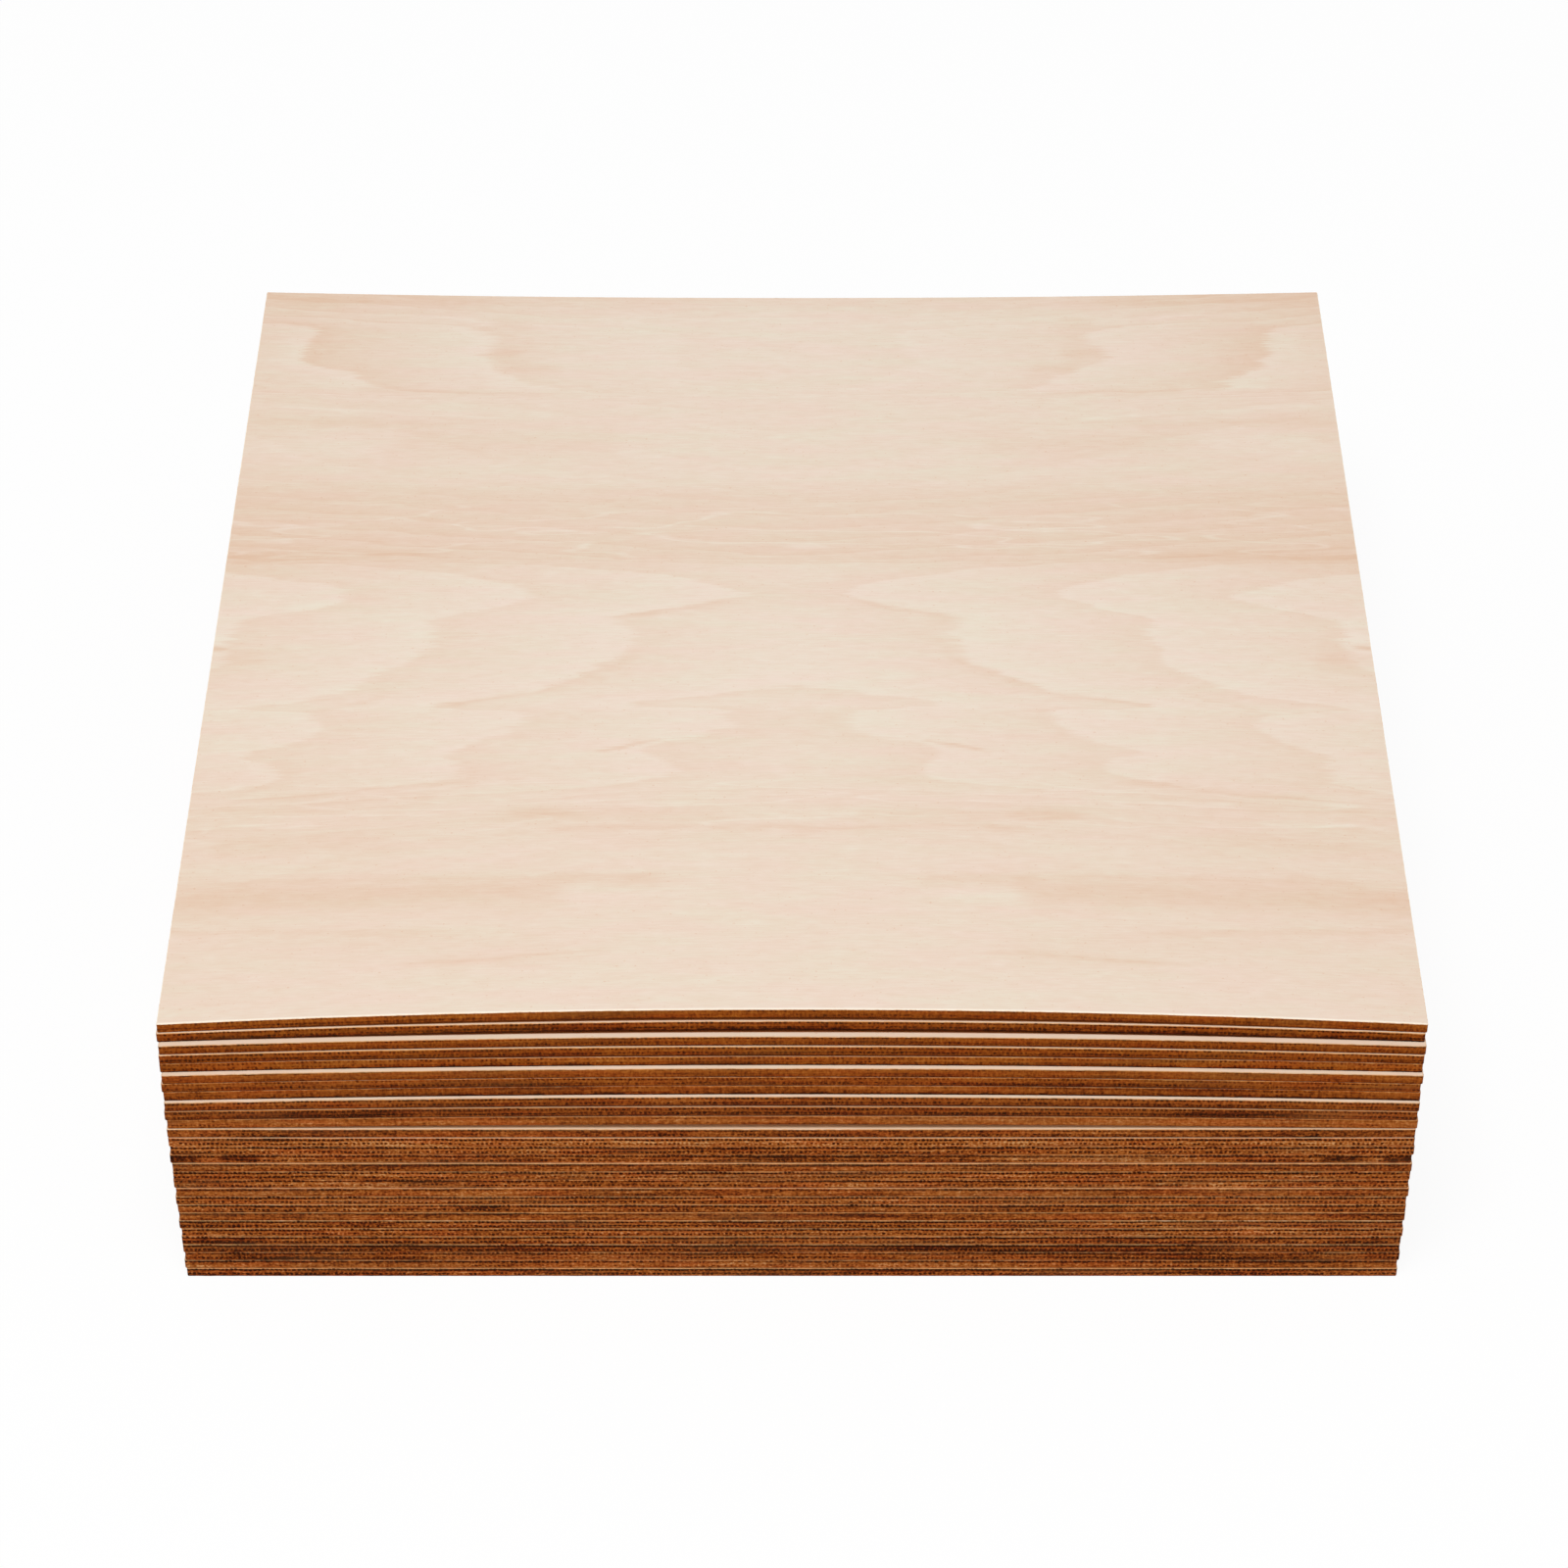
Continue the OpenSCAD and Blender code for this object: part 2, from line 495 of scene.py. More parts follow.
    def wood(self, shader: Shader, place: Input, fibre: Input, fleck: Input) -> Input:
        """Add the colour of the clean wood.

        Args:
            shader: The material's tree.
            place: Coordinates in millimetres.
            fibre: Noise of the long fibres.
            fleck: Noise of the short ones.

        Returns:
            The wood's colour.
        """
        pore = shader.clouds(place, (0.9, 0.6, 9.0), detail=0.0)
        tone = shader.sway(self.figure(shader, place), fibre, self.fibre_tone)
        tone = shader.sway(tone, fleck, self.fleck_tone)
        tone = shader.sway(tone, shader.clouds(place, (6.0, 1.8, 9.0)), self.mottle_tone)
        pinhole = shader.add("MapRange", {"Value": pore, "From Min": 0.76, "From Max": 0.84, "To Max": 0.5})
        tone = shader.add("Math ADD", {0: tone, 1: pinhole})
        hue = shader.clouds(place, (30.0, 6.0, 9.0), detail=4.0)
        hue = shader.add("MapRange", {"Value": hue, "From Min": 0.35, "From Max": 0.65})
        return shader.stain(shader.stain(self.straw, hue, self.rosy), tone, self.tan)

    def stained(self, shader: Shader, place: Input, colour: Input) -> Input:
        """Lay on what the laser has left near the cut, and painted light and shade.

        Under another sheet the rim that sticks out is tanned, with a singed line along the cut. The underside
        is browned behind the cut, partly by fumes from the cut and partly as painted shade in the gap below,
        and the face behind the rim of the sheet above is browned as painted shade in the gap. A painted
        highlight makes the top sheet's front rim paler, where its arris catches the light.

        Args:
            shader: The material's tree.
            place: Coordinates in millimetres.
            colour: The clean wood's colour.

        Returns:
            The colour with its stains.
        """
        inside = shader.add("Attribute", attribute_name=Attribute.INSIDE.value).outputs["Vector"]
        cover = shader.add("Attribute", attribute_name=Attribute.COVERED.value).outputs["Vector"]
        sheet = shader.add("Attribute", attribute_name=Attribute.SHEET.value).outputs["Fac"]
        toward_back = shader.add("SeparateXYZ", {0: inside}).outputs[1]
        inside = shader.add("VectorMath ABSOLUTE", {0: inside})
        across, along, through = shader.add("SeparateXYZ", {0: inside}).outputs
        outer = shader.add("Math MAXIMUM", {0: across, 1: along})
        to_side = {"From Max": 0.0, "To Max": self.half_side}
        rim = shader.add("MapRange", {"Value": outer, "From Min": 1.0, **to_side})
        front = shader.add("MapRange", {"Value": toward_back, "From Min": -1.0, **to_side})

        cover = shader.add("SeparateXYZ", {0: cover}).outputs
        cover = shader.add("Math MINIMUM", {0: cover[0], 1: cover[1]})
        # Where painted shade for the gaps goes: the underside, and the face just inside the rim of the sheet
        # above
        under = shader.add("Math SUBTRACT", {0: 1.0, 1: through})
        hidden = shader.add("MapRange", {"Value": cover, "From Min": 0.0, "From Max": 0.3})
        hidden = shader.add("Math MAXIMUM", {0: under, 1: hidden})
        stacked = shader.add("MapRange", {"Value": cover, "From Min": -20.0, "From Max": -10.0})
        open_face = shader.add("Math SUBTRACT", {0: 1.0, 1: stacked})

        shaken = shader.sway(rim, shader.clouds(place, (5.0, 5.0, 9.0), detail=3.0), 2.0)
        tan = shader.add("MapRange", {"Value": shaken, "From Min": 4.0, "From Max": 2.0, "To Max": 0.2})
        strength = shader.follow(sheet, self.singeing)
        singe = shader.add("MapRange", {"Value": rim, "From Min": 0.5, "From Max": 0.2, "To Max": strength})
        # Fume brown near the rim: on the underside partly fumes from the cut and partly painted shade, on a
        # covered face painted shade in the gap; paler on the lower sheets
        smoke_and_gap_shade = shader.add("MapRange", {"Value": shaken, "From Min": 9.0, "From Max": 3.0})
        lower = shader.add("MapRange", {"Value": sheet, "From Min": 21.0, "From Max": 18.0})
        smoke_and_gap_shade_colour = shader.stain(self.smoke_and_gap_shade, lower, self.faint_smoke_and_gap_shade)
        # Painted highlight along the top sheet's front rim, where the arris catches the light
        front_rim_highlight = shader.add("MapRange", {"Value": front, "From Min": 0.7, "From Max": 0.4, "To Max": 0.8})
        for share, where, stain in (
            (tan, stacked, self.tanned), (singe, stacked, self.singed), (smoke_and_gap_shade, hidden, smoke_and_gap_shade_colour),
            (front_rim_highlight, open_face, self.rim_highlight_colour),
        ):
            share = shader.add("Math MULTIPLY", {0: share, 1: where})
            colour = shader.stain(colour, share, stain)
        return colour

    def material(self) -> bpy.types.Material:
        """Make the veneer's material."""
        material, shader = start_material("sanded_basswood_veneer")
        place = shader.place()
        fibre = shader.clouds(place, (11.0, 0.42, 9.0), detail=5.0)
        fleck = shader.clouds(place, (3.2, 0.55, 9.0))
        colour = self.stained(shader, place, self.wood(shader, place, fibre, fleck))
        height = shader.add("Math ADD", {0: fibre, 1: fleck})
        raised = {"Strength": self.relief_share, "Distance": self.relief * MM, "Height": height}
        least, most = self.roughness - self.roughness_swing, self.roughness + self.roughness_swing
        rough = shader.add("MapRange", {"Value": fibre, "To Min": least, "To Max": most})
        shader.dress(colour, rough, self.gloss, shader.add("Bump", raised))
        return material


@dataclass(frozen=True)
class LaserBrownedEdge:
    """Plywood edge browned by the laser that cut it.

    The real edge is wood cooked by the beam to a matt brown, so it gives the eye a dull, warm dark band
    without gloss. The beam's pulses leave fine upright scallops and two rows of charred dots along each
    sheet, and the plies show as long streaks, some orange, some burnt nearly black. Sanding the faces has
    cleaned the arris again, which draws a pale hairline along each sheet; that hairline is also a painted
    highlight where the arris catches the light. Each sheet's foot is darker, partly char and partly painted
    shade where it meets the sheet below.
    """

    # How far the wood is burnt, from char at 0 to hardly browned at 1
    burn: tuple[tuple[float, str], ...] = (
        (0.0, "#2E1101"), (0.25, "#5F2604"), (0.5, "#9A4F15"), (0.75, "#BA6E30"), (1.0, "#D8A067"),
    )
    # Dull patches, the upper sheets' golden tinge, rusty patches, and the hairline, partly unburnt arris and
    # partly painted highlight: tan where it is thin, and the highlight's paler colour where it is clean
    grey: str = "#6A4324"
    gold: str = "#F3E9AE"
    rust: str = "#FFCDB4"
    tan_line: str = "#F6C281"
    arris_highlight: str = "#FFF0D8"
    thickness: float = 2.7
    mean_burn: float = 0.55
    sheet_swing: float = 0.22
    # Step from one sheet's layer of noise to the next, so that no two sheets look alike
    layer_step: float = 41.3
    # Dots: pitch, rows in a sheet, their shift, how much flatter than round, and a seed for their number
    dot_pitch: float = 1.1
    dot_rows: float = 2.0
    dot_shift: float = -0.2
    dot_flatness: float = 1.5
    dot_seed: float = 60.5
    roughness: float = 0.66
    roughness_swing: float = 0.12
    gloss: float = 0.05
    relief: float = 0.12
    relief_share: float = 0.5
    # Lowest and highest result of the curves for the height through a sheet and for the sheet
    across_reach: tuple[float, float] = (-0.5, 0.5)
    stack_reach: tuple[float, float] = (-0.2, 0.2)
    # Height through the sheet, and how much lighter or darker the edge is there. The darker foot is partly
    # char and partly painted shade where the sheet meets the one below
    across: Curve = (
        (0, -0.17), (0.07, -0.11), (0.2, -0.01), (0.45, 0.03), (0.62, -0.01), (0.75, -0.11),
        (0.86, -0.21), (0.93, -0.15), (1, -0.03),
    )
    # The same on the upper sheets, which are less scorched, with a darker foot that is partly painted shade
    # over the gap below
    upper_across: Curve = ((0, -0.28), (0.08, -0.16), (0.3, -0.04), (0.6, 0.02), (0.85, 0.08), (1, 0.12))
    # Sheet counted from the bottom, and how much lighter or darker its edge is than its neighbours'
    stack_tone: Curve = (
        (1, -0.01), (3, -0.04), (5, -0.04), (6.5, 0), (8, -0.08), (9, 0), (11, 0), (12, 0.15), (13, 0),
        (14, -0.04), (15, 0.01), (16, 0.07), (17, 0.13), (18, 0.05), (19, 0), (29, 0),
    )
    # Height through the sheet, and how strongly the charred dots show there
    dot_row: Curve = ((0, 0.6), (0.35, 0.8), (0.6, 0.8), (0.85, 1), (1, 0.5))
    # How clean each sheet's arris is, and so how strongly its painted highlight shows, from the bottom sheet
    # up
    clean: tuple[float, ...] = (
        0.50, 0.25, 0.20, 0.50, 0.45, 0.45, 0.60, 0.45, 0.55, 0.40, 0.25, 0.15, 0.35, 0.50, 0.25,
        0.20, 0.12, 0.60, 0.12, 0.05, 0.60, 0.10, 0.15, 0.60, 0.05, 0.55, 0.60, 0.60, 1.00,
    )
    # Values of each mark as a streak: height in sheets, then distances from the middle of the front.
    # A higher tone is paler
    marks: Rows = (
        (14.4, 0.38, 130, 136, -0.42, 3), (14.4, 0.38, 145, 152, -0.42, 3),
        (19.5, 0.32, 98, 118, -0.24, 10), (2.2, 0.50, 96, 152, -0.22, 12), (8.8, 0.35, 74, 79, -0.20, 5),
        (17.0, 0.15, 122.5, 126.5, -0.40, 2), (11.4, 0.50, 99, 108, 0.16, 6),
        (5.8, 0.40, 110, 114, 0.18, 4), (4.2, 0.45, 134, 144, -0.22, 5), (3.9, 0.35, 84, 104, -0.16, 10),
        # The three long dark lines at heights 21.04, 24.04 and 27.04 are partly char and partly painted shade
        # of the gap at the foot of a sheet that lies on one sticking out
        (14.6, 0.50, 0, 40, -0.08, 24), (21.9, 0.50, 56, 96, -0.14, 20), (21.04, 0.12, 0, 310, -0.36),
        (24.04, 0.12, 0, 310, -0.42), (27.04, 0.12, 0, 310, -0.30),
    )

    def burning(self, shader: Shader, wall: Input, through: Input, sheet: Input, dots: Input) -> Node:
        """Add up what makes the edge lighter and darker.

        Args:
            shader: The material's tree.
            wall: Place on the unrolled edge, with a layer for each sheet.
            through: Height as a share of the thickness.
            sheet: The sheet's number.
            dots: How much further a dot burns the wood.

        Returns:
            How far the wood is burnt, from char at 0 to hardly browned at 1.
        """
        sheet_tone = shader.add("TexWhiteNoise", {"W": sheet}, noise_dimensions="1D")
        upper = shader.add("MapRange", {"Value": sheet, "From Min": 17.0, "From Max": 21.0})
        lower_tone = shader.follow(through, self.across, self.across_reach)
        upper_tone = shader.follow(through, self.upper_across, self.across_reach)
        value = shader.add("Mix", {"Factor": upper, 2: lower_tone, 3: upper_tone})
        value = shader.add("Math ADD", {0: value, 1: self.mean_burn})
        value = shader.sway(value, sheet_tone, self.sheet_swing)
        own_tone = shader.follow(sheet, self.stack_tone, self.stack_reach)
        value = shader.add("Math ADD", {0: value, 1: own_tone})
        streaky = shader.sway(0.0, shader.clouds(wall, (30.0, 0.8, 1.0), detail=4.0), 0.95)
        streaky = shader.sway(streaky, shader.clouds(wall, (40.0, 3.0, 1.0), detail=3.0), 0.55)
        streaky = shader.sway(streaky, shader.clouds(wall, (0.9, 0.5, 1.0)), 1.2)
        even = shader.add("MapRange", {"Value": upper, "To Min": 1.0, "To Max": 0.5})
        value = shader.add("Math MULTIPLY_ADD", {0: streaky, 1: even, 2: value})
        value = shader.sway(value, shader.clouds(wall, (0.5, 2.0, 1.0)), 0.55)
        return shader.add("Math SUBTRACT", {0: value, 1: dots})

    def dots(self, shader: Shader, wall: Input, run: Input, through: Input, sheet: Input) -> Node:
        """Add the charred dots that the beam's pulses leave, each of its own strength.

        Args:
            shader: The material's tree.
            wall: Place on the unrolled edge, with a layer for each sheet.
            run: Distance along the edge.
            through: Height as a share of the thickness.
            sheet: The sheet's number.

        Returns:
            How much further a dot burns the wood.
        """
        run = shader.sway(run, shader.clouds(wall, (3.5, 4.0, 1.0)), 1.2)
        height = shader.sway(through, shader.clouds(wall, (6.0, 3.0, 1.0), detail=1.0), 0.3)
        rows = {0: height, 1: self.dot_rows, 2: self.dot_shift}
        level = shader.add("Math MULTIPLY_ADD", rows)
        row = shader.add("Math FLOOR", {0: level})
        row_seed = shader.add("CombineXYZ", {0: row, 1: sheet})
        shift = shader.add("TexWhiteNoise", {"Vector": row_seed}, noise_dimensions="2D")
        count = shader.add("Math MULTIPLY_ADD", {0: run, 1: 1 / self.dot_pitch, 2: shift})
        number = shader.add("Math FLOOR", {0: count})
        off_run = shader.sway(0.0, shader.add("Math FRACT", {0: count}), 1.0)
        off_row = shader.sway(0.0, shader.add("Math FRACT", {0: level}), self.dot_flatness)
        away = shader.add("CombineXYZ", {0: off_run, 1: off_row})
        away = shader.add("VectorMath LENGTH", {0: away}).outputs["Value"]
        dot = shader.add("MapRange", {"Value": away, "From Min": 0.5, "From Max": 0.12})
        pulse = shader.add("CombineXYZ", {0: number, 1: sheet, 2: row})
        strength = shader.add("TexWhiteNoise", {"Vector": pulse}, noise_dimensions="3D")
        strength = shader.add("MapRange", {"Value": strength, "To Min": 0.2})
        for share in (strength, shader.follow(height, self.dot_row)):
            dot = shader.add("Math MULTIPLY", {0: dot, 1: share})
        other_sheet = shader.add("Math ADD", {0: sheet, 1: self.dot_seed})
        dotted = shader.add("TexWhiteNoise", {"W": other_sheet}, noise_dimensions="1D")
        dotted = shader.sway(dotted, shader.clouds(wall, (14.0, 1.5, 1.0), detail=3.0), 1.6)
        dotted = shader.add("MapRange", {"Value": dotted, "From Min": 0.0, "From Max": 0.7, "To Max": 1.4})
        upper = {"From Min": 17.0, "From Max": 21.0, "To Min": 1.0, "To Max": 0.5}
        faint = shader.add("MapRange", {"Value": sheet, **upper})
        dotted = shader.add("Math MULTIPLY", {0: dotted, 1: faint})
        return shader.add("Math MULTIPLY", {0: dot, 1: dotted})

    def hairline(self, shader: Shader, wall: Input, through: Input, sheet: Input, dots: Input) -> Node:
        """Give how clean the arris is at each place, which is also how strongly its painted highlight shows.

        Args:
            shader: The material's tree.
            wall: Place on the unrolled edge, with a layer for each sheet.
            through: Height as a share of the thickness.
            sheet: The sheet's number.
            dots: How much further a dot burns the wood.

        Returns:
            Share of the hairline's colour, which is partly painted highlight, from 0 to 1.
        """
        eased = shader.add("MapRange", {"Value": through, "From Min": 0.945, "From Max": 0.965})
        clean = shader.follow(sheet, tuple(enumerate(self.clean, start=1)))
        clean = shader.sway(clean, shader.clouds(wall, (1.6, 1.0, 1.0), detail=3.0), 0.7)
        clean = shader.sway(clean, shader.clouds(wall, (26.0, 3.0, 1.0)), 0.6)
        clean = shader.add("Math SUBTRACT", {0: clean, 1: dots})
        return shader.add("Math MULTIPLY", {0: eased, 1: clean}, use_clamp=True)

    def scorch_and_shade_marks(self, shader: Shader, wall: Input, out: Input, level: Input, burning: Input) -> Node:
        """Lay the scorched and paler marks over the edge, and the painted shade lines at the feet of some
        sheets.

        Args:
            shader: The material's tree.
            wall: Place on the unrolled edge, with a layer for each sheet.
            out: Distance from the middle of the front.
            level: Height in sheets.
            burning: How far the wood is burnt without them.

        Returns:
            How far the wood is burnt.
        """
        level = shader.sway(level, shader.clouds(wall, (4.0, 1.0, 1.0)), 0.6)
        group = streak_group("scorch_and_shade_mark")
        for row in self.marks:
            burning = GrainStreak(*row).lay(shader, group, out, level, burning)
        return burning

    def colour(self, shader: Shader, wall: Input, sheet: Input, burning: Input, clean: Input) -> Input:
        """Add the edge's colour.

        Args:
            shader: The material's tree.
            wall: Place on the unrolled edge, with a layer for each sheet.
            sheet: The sheet's number.
            burning: How far the wood is burnt.
            clean: How clean the arris is, and so how strongly its painted highlight shows.

        Returns:
            The colour.
        """
        ramp = shader.add("ValToRGB", {0: burning})
        stops = ramp.color_ramp.elements
        for share, _ in self.burn[1:-1]:
            stops.new(share)
        for stop, (share, code) in zip(stops, self.burn):
            stop.position = share
            stop.color = linear(code)
        dull = shader.clouds(wall, (36.0, 3.0, 1.0))
        dull = shader.add("MapRange", {"Value": dull, "From Min": 0.52, "From Max": 0.7, "To Max": 0.38})
        golden = shader.add("MapRange", {"Value": sheet, "From Min": 19.0, "From Max": 26.0})
        rusty = shader.clouds(wall, (18.0, 2.0, 1.0), detail=3.0)
        rusty = shader.add("MapRange", {"Value": rusty, "From Min": 0.45, "From Max": 0.65, "To Max": 0.5})
        # The hairline: partly unburnt arris, partly painted highlight, paler where it is cleanest
        pale = shader.add("MapRange", {"Value": clean, "From Min": 0.6, "From Max": 1.0})
        colour = shader.stain(ramp, dull, self.grey)
        colour = shader.stain(colour, golden, self.gold, "MULTIPLY")
        colour = shader.stain(colour, rusty, self.rust, "MULTIPLY")
        return shader.stain(colour, clean, shader.stain(self.tan_line, pale, self.arris_highlight))

    def material(self) -> bpy.types.Material:
        """Make the edge's material."""
        material, shader = start_material("laser_browned_edge")
        across, along, _ = shader.add("SeparateXYZ", {0: shader.place()}).outputs
        run = shader.add("Math ADD", {0: across, 1: along})
        inside = shader.add("Attribute", attribute_name=Attribute.INSIDE.value).outputs["Vector"]
        through = shader.add("SeparateXYZ", {0: inside}).outputs[2]
        sheet = shader.add("Attribute", attribute_name=Attribute.SHEET.value).outputs["Fac"]
        height = shader.add("Math MULTIPLY", {0: through, 1: self.thickness})
        layer = shader.add("Math MULTIPLY", {0: sheet, 1: self.layer_step})
        wall = shader.add("CombineXYZ", {0: run, 1: height, 2: layer})
        # On the front the marks lie alike to both sides of the middle. On the other sides each comes once
        from_middle = shader.add("Math ABSOLUTE", {0: across})
        from_corner = shader.add("Math ABSOLUTE", {0: run})
        front = shader.add("Math ADD", {0: from_middle, 1: along})
        front = shader.add("Math LESS_THAN", {0: front, 1: 0.0})
        out = shader.add("Mix", {"Factor": front, 2: from_corner, 3: from_middle})
        level = shader.add("Math ADD", {0: sheet, 1: through})
        level = shader.add("Math SUBTRACT", {0: level, 1: 1.0})

        dots = self.dots(shader, wall, run, through, sheet)
        burning = self.burning(shader, wall, through, sheet, dots)
        burning = self.scorch_and_shade_marks(shader, wall, out, level, burning)
        clean = self.hairline(shader, wall, through, sheet, dots)
        colour = self.colour(shader, wall, sheet, burning, clean)
        raised = {"Strength": self.relief_share, "Distance": self.relief * MM, "Height": burning}
        charred, browned = self.roughness + self.roughness_swing, self.roughness - self.roughness_swing
        rough = shader.add("MapRange", {"Value": burning, "To Min": charred, "To Max": browned})
        shader.dress(colour, rough, self.gloss, shader.add("Bump", raised))
        return material


@dataclass(frozen=True)
class Warp:
    """Saddle that the upper sheets have taken: the front's middle rises, and the back corners lift.

    Attributes:
        half_width: Half of the width over which the saddle runs.
        front: Where it starts, along Y.
        back: Where it ends, along Y.
        top_rise: Rise of the top sheet at the middle of the front.
        back_lift: Lift of the top sheet's back corners.
    """

    half_width: float
    front: float
    back: float
    top_rise: float
    back_lift: float = 2.0

    def height(self, rise: float, x: float, y: float) -> float:
        """Give the height of a sheet's warp over a point of the plan.

        Args:
            rise: The sheet's own rise at the middle of the front.
            x: The point's place along X.
            y: The point's place along Y.

        Returns:
            Height above the sheet's flat level.
        """
        across = (x / self.half_width) ** 2
        along = (y - self.front) / (self.back - self.front)
        return rise * (1 - across) * (1 - along) + rise / self.top_rise * self.back_lift * across * along


@dataclass
class PlywoodSheet:
    """One sheet: a thin slab with eased arrises, uneven where the laser went round it.

    Attributes:
        number: Its place from the bottom.
        low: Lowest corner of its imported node's box.
        high: Highest corner of that box.
        thickness: Thickness of the stock.
        rise: Rise of its front edge's middle; zero on a flat sheet.
        above: Lowest and highest corner of the sheet that lies on it, if one does.
    """

    number: int
    low: Vector
    high: Vector
    thickness: float
    rise: float
    above: tuple[Vector, Vector] | None
    cells: int = 24
    tooth: float = 1.1
    arris: float = 0.15
    arris_steps: int = 2
    corner: float = 0.35
    corner_steps: int = 3
    # How far the beam strayed, over what length, and steps in the noise to the next sheet and the fine waver
    waver: float = 0.045
    waver_length: float = 9.0
    waver_step: float = 7.7
    fine_step: float = 50.0
    # Distance that stands for no sheet above
    uncovered: float = 30.0
    # Degrees past which two faces meet squarely and shading breaks, and how level veneer is at least
    square_angle: float = 60.0
    smooth_angle: float = 20.0
    face_level: float = 0.98

    @property
    def node(self) -> str:
        """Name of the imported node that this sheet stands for."""
        return f"sheet_{self.number:02d}"

    @staticmethod
    def upright(edge: bmesh.types.BMEdge) -> bool:
        """Say whether an edge runs through the thickness."""
        first, second = edge.verts
        return abs(first.co.z - second.co.z) > abs(first.co.x - second.co.x) + abs(first.co.y - second.co.y)

    @staticmethod
    def ease(mesh: bmesh.types.BMesh, edges: list[bmesh.types.BMEdge], width: float, steps: int) -> None:
        """Round edges off in a number of steps."""
        bmesh.ops.bevel(
            mesh, geom=edges, offset=width, offset_type="OFFSET", segments=steps, profile=0.5,
            affect="EDGES", material=-1,
        )

    def sharp_edges(self, mesh: bmesh.types.BMesh) -> list[bmesh.types.BMEdge]:
        """List the edges where two faces meet squarely."""
        least = math.radians(self.square_angle)
        return [edge for edge in mesh.edges if edge.is_manifold and edge.calc_face_angle() > least]

    def inside(self, point: Vector) -> Vector:
        """Give a point's place in the flat slab.

        Args:
            point: The point, with its height above the slab's underside.

        Returns:
            -1 to 1 from left to right, -1 to 1 from front to back, and 0 to 1 upwards.
        """
        middle = (self.low + self.high) / 2
        half = (self.high - self.low) / 2
        across, along = (point.x - middle.x) / half.x, (point.y - middle.y) / half.y
        return Vector((across, along, point.z / self.thickness))

    def covered(self, point: Vector) -> Vector:
        """Give how far a point lies inside the rim of the sheet above.

        Args:
            point: The point.

        Returns:
            Distance from the nearer side and from the nearer end, well below zero with no sheet above.
        """
        if self.above is None:
            return Vector((-self.uncovered, -self.uncovered, 0))
        low, high = self.above
        middle = (low + high) / 2
        half = (high - low) / 2
        return Vector((half.x - abs(point.x - middle.x), half.y - abs(point.y - middle.y), 0))

    def slab(self) -> bmesh.types.BMesh:
        """Make the flat slab, with its corners eased and its rim cut into teeth."""
        mesh = bmesh.new()
        size = self.high - self.low
        middle = (self.low + self.high) / 2
        bmesh.ops.create_grid(mesh, x_segments=self.cells, y_segments=self.cells, size=0.5)
        bmesh.ops.scale(mesh, vec=(size.x, size.y, 1), verts=mesh.verts)
        bmesh.ops.translate(mesh, vec=(middle.x, middle.y, 0), verts=mesh.verts)
        raised = bmesh.ops.extrude_face_region(mesh, geom=mesh.faces[:])["geom"]
        upper = [item for item in raised if isinstance(item, bmesh.types.BMVert)]
        bmesh.ops.translate(mesh, vec=(0, 0, self.thickness), verts=upper)
        bmesh.ops.recalc_face_normals(mesh, faces=mesh.faces)
        corners = [edge for edge in self.sharp_edges(mesh) if self.upright(edge)]
        self.ease(mesh, corners, self.corner, self.corner_steps)
        rim = [edge for edge in self.sharp_edges(mesh) if edge.calc_length() > 2 * self.tooth]
        cuts = round(size.x / self.cells / self.tooth) - 1
        bmesh.ops.subdivide_edges(mesh, edges=rim, cuts=cuts, use_grid_fill=True)
        return mesh

    def waver_rim(self, mesh: bmesh.types.BMesh) -> None:
        """Move the rim in and out by a few hundredths, as the beam left it.

        Args:
            mesh: The slab, with its rim cut into teeth.
        """
        inner = 1 - 2 * self.corner / (self.high.x - self.low.x)
        for vert in mesh.verts:
            spot = self.inside(vert.co)
            if max(abs(spot.x), abs(spot.y)) < inner:
                continue
            x, y, level = vert.co.x, vert.co.y, vert.co.z + self.waver_step * self.number
            coarse = noise.noise(Vector((x / self.waver_length, y / self.waver_length, level)))
            fine = noise.noise(Vector((x / self.tooth, y / self.tooth, level + self.fine_step)))
            push = self.waver * (coarse + fine)
            if abs(spot.x) > abs(spot.y):
                vert.co.x += math.copysign(push, spot.x)
            else:
                vert.co.y += math.copysign(push, spot.y)

    def settle(self, mesh: bmesh.types.BMesh, warp: Warp) -> None:
        """Note each point's place in the sheet, then warp the slab and set it at its height.

        Args:
            mesh: The finished flat slab.
            warp: The stack's warp.
        """
        inside = mesh.verts.layers.float_vector.new(Attribute.INSIDE.value)
        covered = mesh.verts.layers.float_vector.new(Attribute.COVERED.value)
        sheet = mesh.verts.layers.float.new(Attribute.SHEET.value)
        for vert in mesh.verts:
            vert[inside] = self.inside(vert.co)
            vert[covered] = self.covered(vert.co)
            vert[sheet] = self.number
            vert.co.z += (self.number - 1) * self.thickness + warp.height(self.rise, vert.co.x, vert.co.y)

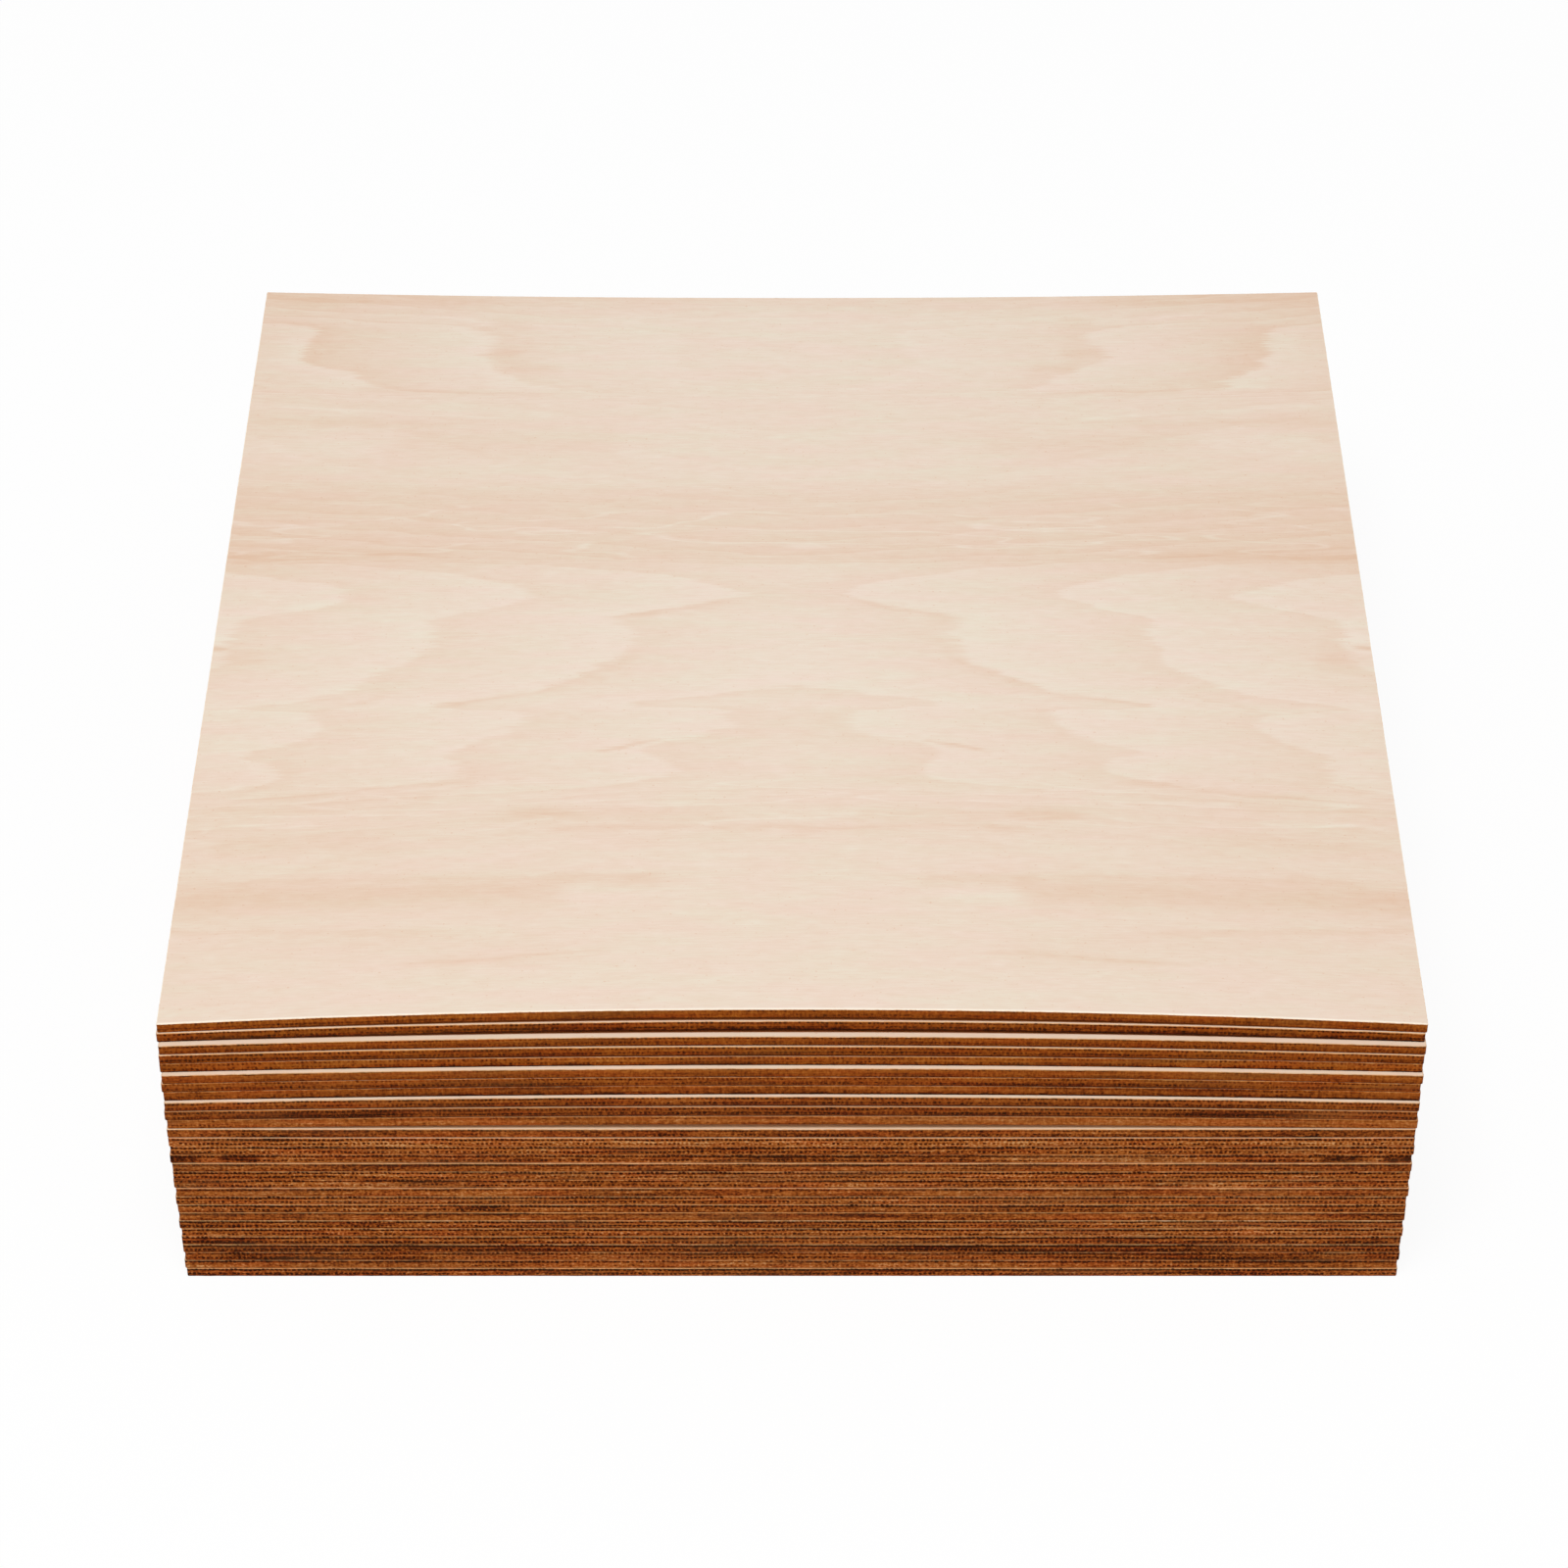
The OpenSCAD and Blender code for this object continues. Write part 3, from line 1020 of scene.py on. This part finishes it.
    def build(self, warp: Warp, finishes: dict[Face, bpy.types.Material]) -> bpy.types.Object:
        """Make the sheet's object, dressed and riding on the stack.

        Args:
            warp: The stack's warp.
            finishes: A material for each kind of face.

        Returns:
            The new object.
        """
        mesh = self.slab()
        self.waver_rim(mesh)
        self.ease(mesh, self.sharp_edges(mesh), self.arris, self.arris_steps)
        mesh.normal_update()
        for face in mesh.faces:
            face.smooth = True
            face.material_index = Face.VENEER if abs(face.normal.z) > self.face_level else Face.CUT_EDGE
        self.settle(mesh, warp)
        bmesh.ops.scale(mesh, vec=(MM, MM, MM), verts=mesh.verts)
        mesh.normal_update()
        data = bpy.data.meshes.new(f"plywood_{self.number:02d}")
        mesh.to_mesh(data)
        mesh.free()
        data.set_sharp_from_angle(angle=math.radians(self.smooth_angle))
        for face in Face:
            data.materials.append(finishes[face])
        piece = bpy.data.objects.new(data.name, data)
        bpy.context.scene.collection.objects.link(piece)
        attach(piece, BODY)
        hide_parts(self.node)
        return piece


@dataclass
class PlywoodStack:
    """The whole stack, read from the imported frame."""

    nodes: list[str]
    flat_tolerance: float = 0.05

    def sheets(self) -> tuple[list[PlywoodSheet], Warp]:
        """Read each sheet's place from its packed box, and the warp from all the warped ones.

        Returns:
            The sheets from the bottom up, and their common warp.
        """
        boxes = [tuple(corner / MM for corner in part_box(name)) for name in self.nodes]
        thickness = boxes[0][1].z - boxes[0][0].z
        rises = [high.z - low.z - thickness for low, high in boxes]
        warped = [box for box, rise in zip(boxes, rises) if rise > self.flat_tolerance]
        warp = Warp(
            half_width=max(max(-low.x, high.x) for low, high in warped),
            front=min(low.y for low, _ in warped),
            back=max(high.y for _, high in warped),
            top_rise=rises[-1],
        )
        boxes_above = [*boxes[1:], None]
        made = [
            PlywoodSheet(number, low, high, thickness, rise if rise > self.flat_tolerance else 0.0, above)
            for number, ((low, high), rise, above) in enumerate(zip(boxes, rises, boxes_above), start=1)
        ]
        return made, warp

    def build(self) -> None:
        """Make and dress every sheet."""
        made, warp = self.sheets()
        veneer = BasswoodVeneer(back=warp.back)
        finishes = {Face.VENEER: veneer.material(), Face.CUT_EDGE: LaserBrownedEdge().material()}
        for sheet in made:
            piece = sheet.build(warp, finishes)
            log.info("%s: %d faces, rise %.1f mm", piece.name, len(piece.data.polygons), sheet.rise)


@dataclass
class Studio:
    """Plain pale floor, white surround and a soft lamp."""

    floor_side: float = 12000.0
    floor_drop: float = 0.05
    floor_white: str = "#FCFCFC"
    glow: float = 0.91
    sky: float = 0.3
    key_place: tuple[float, float, float] = (-250.0, -900.0, 2900.0)
    key_side: float = 1500.0
    key_power: float = 68.6

    @staticmethod
    def seen(shader: Shader) -> Node:
        """Add nodes that give 1 where the camera sees a surface, straight or in a gloss, and 0 for its light.

        Args:
            shader: The tree that needs to know.

        Returns:
            The node that gives 1 or 0.
        """
        path = shader.add("LightPath").outputs
        rays = {0: path["Is Camera Ray"], 1: path["Is Glossy Ray"]}
        seen = shader.add("Math MAXIMUM", rays)
        return shader.add("Math MAXIMUM", {0: seen, 1: path["Is Transmission Ray"]})

    def floor(self) -> None:
        """Lay the floor, which shows the surround's white with the stack's shadow in it."""
        mesh = bmesh.new()
        bmesh.ops.create_grid(mesh, x_segments=1, y_segments=1, size=self.floor_side * MM / 2)
        bmesh.ops.translate(mesh, vec=(0, 0, -self.floor_drop * MM), verts=mesh.verts)
        data = bpy.data.meshes.new("floor")
        mesh.to_mesh(data)
        mesh.free()
        # Matt white paper, which shows the eye a white with a soft shadow in it
        material, shader = start_material("white_paper_floor")
        paper = shader.add("BsdfDiffuse", {"Color": self.floor_white})
        glow = shader.add("Emission", {"Color": WHITE, "Strength": 1.0})
        share = shader.add("Math MULTIPLY", {0: self.seen(shader), 1: self.glow})
        mixed = shader.add("MixShader", {0: share, 1: paper, 2: glow})
        shader.add("OutputMaterial", {"Surface": mixed})
        data.materials.append(material)
        floor = bpy.data.objects.new("floor", data)
        bpy.context.scene.collection.objects.link(floor)

    def surround(self) -> None:
        """Set the world: even white light, seen as pure white."""
        world = bpy.data.worlds.new("white_surround")
        world.use_nodes = True
        bpy.context.scene.world = world
        shader = Shader(world.node_tree)
        strength = shader.add("MapRange", {"Value": self.seen(shader), "To Min": self.sky, "To Max": 1.0})
        light = shader.add("Background", {"Color": WHITE, "Strength": strength})
        shader.add("OutputWorld", {"Surface": light})

    def softbox(self) -> None:
        """Hang the soft lamp, facing the stack."""
        data = bpy.data.lights.new("overhead_softbox", "AREA")
        data.size = self.key_side * MM
        data.energy = self.key_power
        lamp = bpy.data.objects.new("overhead_softbox", data)
        lamp.location = Vector(self.key_place) * MM
        lamp.rotation_euler = (-lamp.location).to_track_quat("-Z", "Y").to_euler()
        bpy.context.scene.collection.objects.link(lamp)

    def build(self) -> None:
        """Set up the floor, the surround and the lamp."""
        self.floor()
        self.surround()
        self.softbox()


@dataclass
class PhotoCamera:
    """Camera at the photograph's place: level, looking down on the stack's front."""

    place: tuple[float, float, float] = (0.12, -922.6, 822.1)
    tilt: float = 40.75
    lens: float = 103.97
    sensor: float = 36.0
    frame_side: float = 1600.0
    stack_right: float = 8.3

    def build(self) -> None:
        """Make the camera and give it to the scene."""
        data = bpy.data.cameras.new("photo_camera")
        data.lens = self.lens
        data.sensor_width = self.sensor
        data.shift_x = -self.stack_right / self.frame_side
        camera = bpy.data.objects.new("photo_camera", data)
        camera.location = Vector(self.place) * MM
        camera.rotation_euler = (math.radians(90 - self.tilt), 0, 0)
        bpy.context.scene.collection.objects.link(camera)
        bpy.context.scene.camera = camera


def main() -> None:
    """Load the frame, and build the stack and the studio."""
    logging.basicConfig(level=logging.INFO, format="%(name)s: %(message)s")
    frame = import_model()
    bpy.context.scene.view_settings.view_transform = "Standard"
    PhotoCamera().build()
    PlywoodStack(sorted(frame["nodes"])).build()
    Studio().build()


if __name__ == "__main__":
    main()
